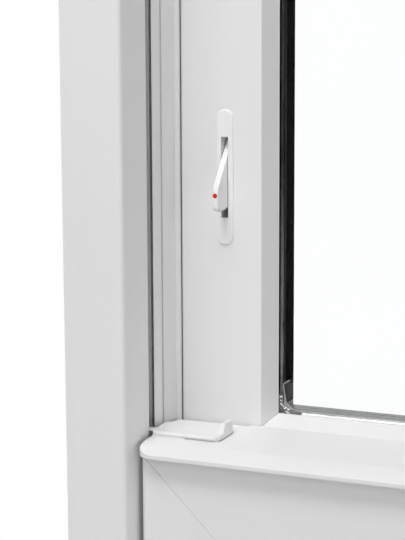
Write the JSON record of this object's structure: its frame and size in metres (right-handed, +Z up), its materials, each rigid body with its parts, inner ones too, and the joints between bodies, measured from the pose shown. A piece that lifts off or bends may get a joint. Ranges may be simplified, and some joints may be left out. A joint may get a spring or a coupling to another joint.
{
  "type": "double-hung window",
  "caption": "White vinyl double-hung window with double glazing, fold-in opening limiters, tilt latches and a cam lock; both sashes slide.",
  "frame": {"origin": "middle of the frame's underside, half way between its indoor and outdoor faces", "axes": "+X to the right seen from indoors, +Y outdoors, +Z up"},
  "size_m": [0.61, 0.132, 0.965],
  "materials": {
    "vinyl": "satin white rigid vinyl",
    "white_hardware": "smooth white moulded plastic",
    "clear_glass": "clear float glass",
    "spacer_metal": "tin-plated steel, dull",
    "butyl": "black sealant",
    "gasket_rubber": "dark grey gasket",
    "pile": "grey brush pile",
    "bright_steel": "zinc-plated steel",
    "red_mark": "red mark",
    "nylon": "off-white nylon",
    "zinc": "die-cast zinc, dull"
  },
  "bodies": {
    "frame": {"jamb_left": "vinyl", "jamb_right": "vinyl", "head": "vinyl", "sill": "vinyl", "balance_housings": "nylon", "balance_coils": "bright_steel", "lower_ribbons": "bright_steel", "upper_ribbons": "bright_steel"},
    "upper_sash": {"upper_stile_left": "vinyl", "upper_stile_right": "vinyl", "upper_top_rail": "vinyl", "upper_meeting_rail": "vinyl", "upper_inner_pane": "clear_glass", "upper_outer_pane": "clear_glass", "upper_spacer": "spacer_metal", "upper_spacer_corners": "spacer_metal", "upper_sealant": "butyl", "upper_gasket": "gasket_rubber", "upper_beads": "vinyl", "upper_piles": "pile", "limiter_plates": "white_hardware", "limiter_housings": "nylon", "limiter_pins": "bright_steel", "keeper": "bright_steel", "keeper_screws": "bright_steel", "upper_latch_cases": "nylon", "upper_shoes": "nylon", "upper_shoe_cams": "zinc", "upper_pivot_bars": "bright_steel"},
    "lower_sash": {"lower_stile_left": "vinyl", "lower_stile_right": "vinyl", "lower_top_rail": "vinyl", "lower_bottom_rail": "vinyl", "lower_inner_pane": "clear_glass", "lower_outer_pane": "clear_glass", "lower_spacer": "spacer_metal", "lower_spacer_corners": "spacer_metal", "lower_sealant": "butyl", "lower_gasket": "gasket_rubber", "lower_beads": "vinyl", "meeting_pile": "pile", "bottom_seal": "gasket_rubber", "lower_latch_bases": "white_hardware", "lower_shoes": "nylon", "lower_shoe_cams": "zinc", "lower_pivot_bars": "bright_steel", "lock_base": "white_hardware", "lock_screws": "bright_steel"},
    "left_limiter": {"limiter_lever_left": "white_hardware", "limiter_dot_left": "red_mark"},
    "right_limiter": {"limiter_lever_right": "white_hardware", "limiter_dot_right": "red_mark"},
    "upper_left_latch": {"upper_latch_left": "white_hardware"},
    "upper_right_latch": {"upper_latch_right": "white_hardware"},
    "lower_left_latch": {"lower_latch_left": "white_hardware"},
    "lower_right_latch": {"lower_latch_right": "white_hardware"},
    "lock": {"lock_handle": "white_hardware", "lock_cam": "zinc"}
  },
  "joints": [
    {"name": "lower_sash_slide", "type": "slide", "parent": "frame", "child": "lower_sash", "axis": [0, 0, 1], "range_m": [0, 0.108], "deforming": ["lower_ribbons"]},
    {"name": "upper_sash_slide", "type": "slide", "parent": "frame", "child": "upper_sash", "axis": [0, 0, 1], "range_m": [-0.108, 0], "deforming": ["upper_ribbons"]},
    {"name": "left_limiter_hinge", "type": "hinge", "parent": "upper_sash", "child": "left_limiter", "pos_m": [-0.2436, 0.01, 0.64985], "axis": [1, 0, 0], "range_deg": [0, 31]},
    {"name": "right_limiter_hinge", "type": "hinge", "parent": "upper_sash", "child": "right_limiter", "pos_m": [0.2436, 0.01, 0.64985], "axis": [1, 0, 0], "range_deg": [0, 31]},
    {"name": "upper_left_latch_slide", "type": "slide", "parent": "upper_sash", "child": "upper_left_latch", "axis": [1, 0, 0], "range_m": [0, 0.009], "stiffness_N_per_m": 300, "springref_m": -0.004},
    {"name": "upper_right_latch_slide", "type": "slide", "parent": "upper_sash", "child": "upper_right_latch", "axis": [-1, 0, 0], "range_m": [0, 0.009], "stiffness_N_per_m": 300, "springref_m": -0.004},
    {"name": "lower_left_latch_slide", "type": "slide", "parent": "lower_sash", "child": "lower_left_latch", "axis": [1, 0, 0], "range_m": [0, 0.009], "stiffness_N_per_m": 300, "springref_m": -0.004},
    {"name": "lower_right_latch_slide", "type": "slide", "parent": "lower_sash", "child": "lower_right_latch", "axis": [-1, 0, 0], "range_m": [0, 0.009], "stiffness_N_per_m": 300, "springref_m": -0.004},
    {"name": "lock_turn", "type": "hinge", "parent": "lower_sash", "child": "lock", "pos_m": [0, -0.011, 0.50785], "axis": [0, 0, -1], "range_deg": [0, 130]}
  ]
}
